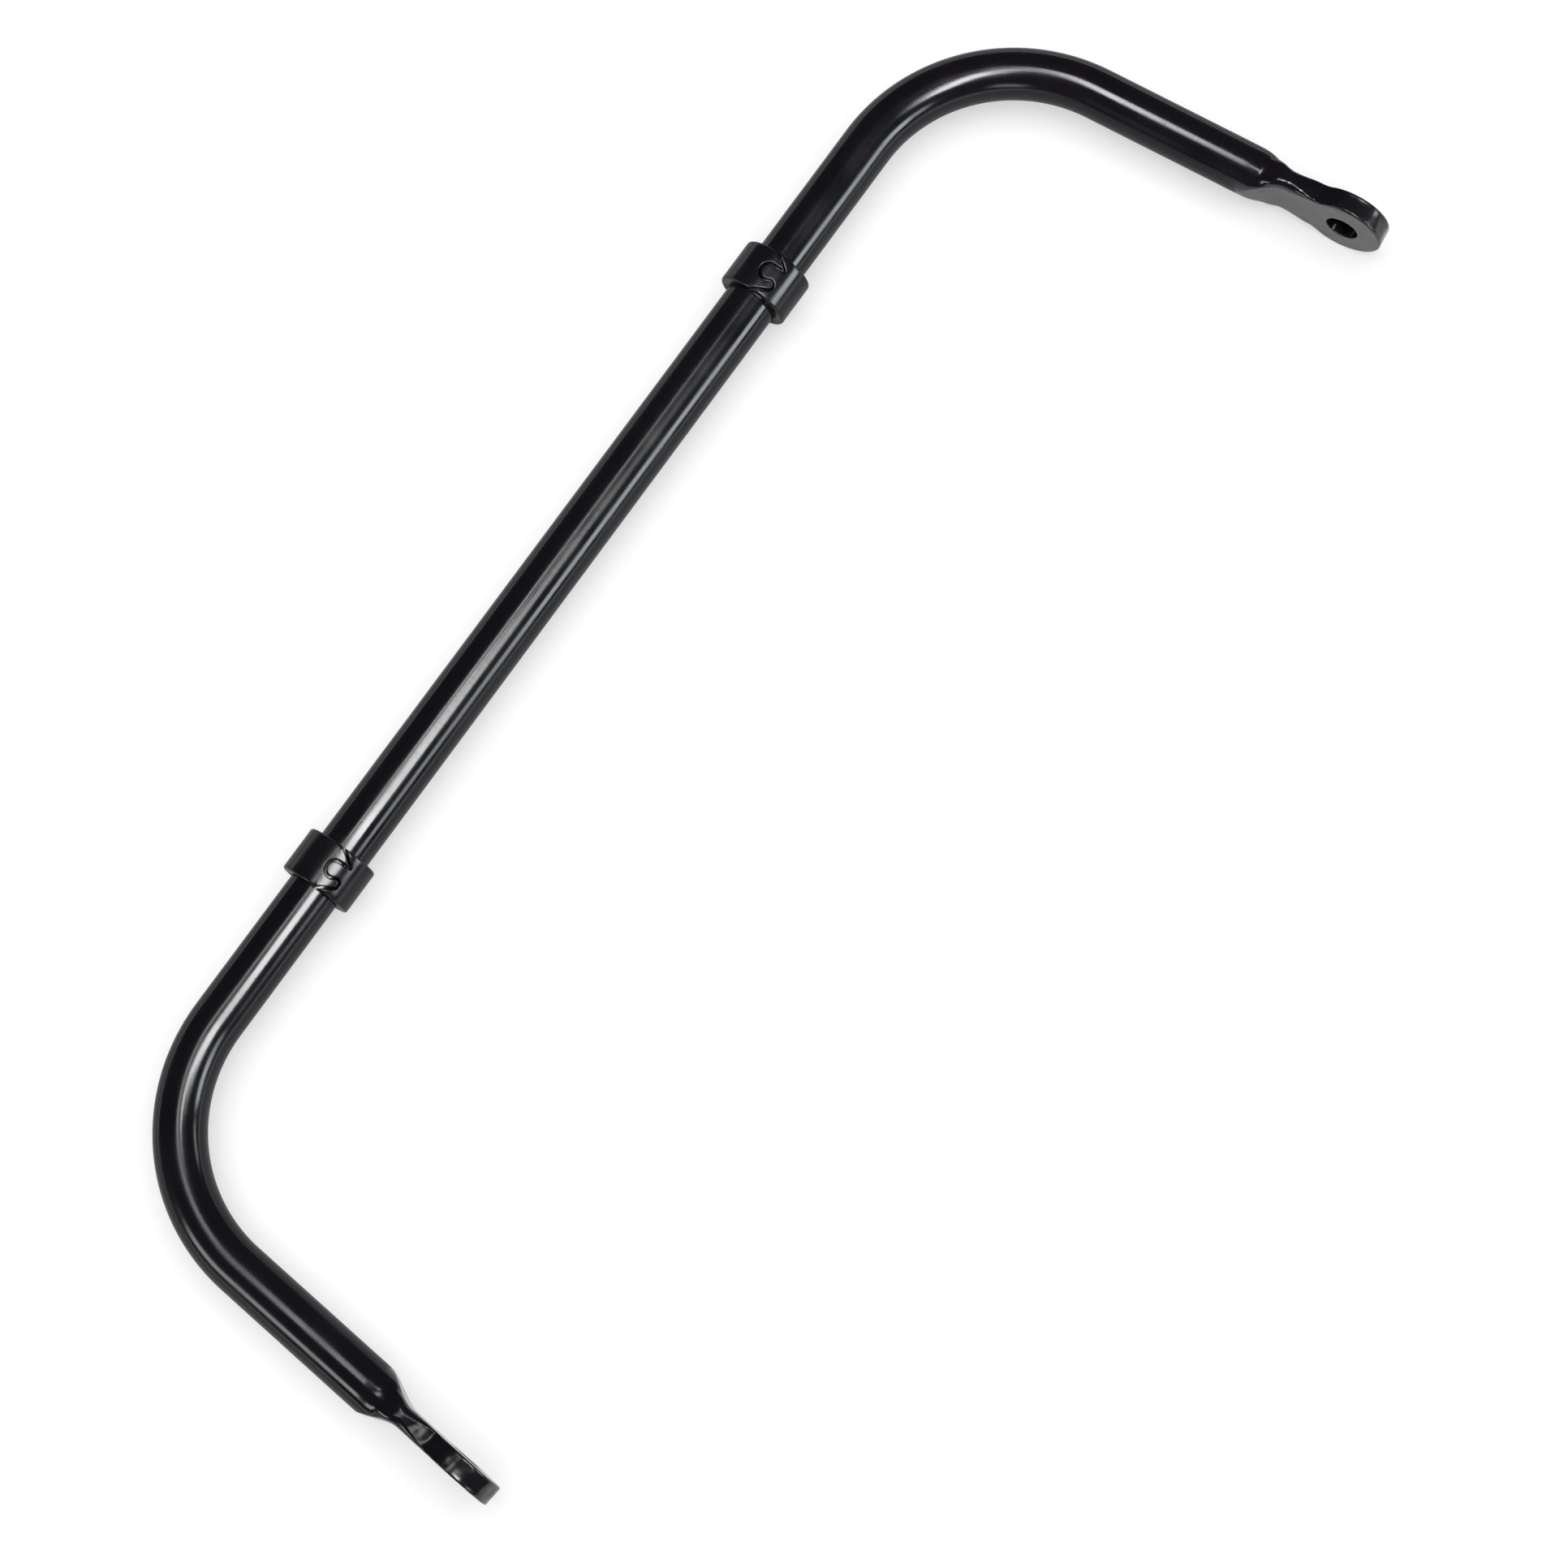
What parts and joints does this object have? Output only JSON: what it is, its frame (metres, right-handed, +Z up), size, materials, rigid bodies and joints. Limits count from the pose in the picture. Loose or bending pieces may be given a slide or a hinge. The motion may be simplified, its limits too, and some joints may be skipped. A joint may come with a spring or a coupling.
{
  "type": "sway bar",
  "caption": "U-shaped torsion bar for a vehicle's suspension, with forged link eyes at its ends and crimped stop collars beside the bushing seats.",
  "frame": {"origin": "centre of the part's outline on the surface that it lies on", "axes": "+X along the straight section, +Y from the link eyes towards the straight section, +Z up, square to the plane of the U"},
  "size_m": [0.5828, 0.1982, 0.033],
  "materials": {
    "bar_paint": "gloss black paint over spring steel",
    "collar_paint": "gloss black paint over crimped steel strip"
  },
  "bodies": {
    "root": {"sway_bar": "bar_paint", "stop_collar_left": "collar_paint", "stop_collar_right": "collar_paint"}
  },
  "joints": []
}
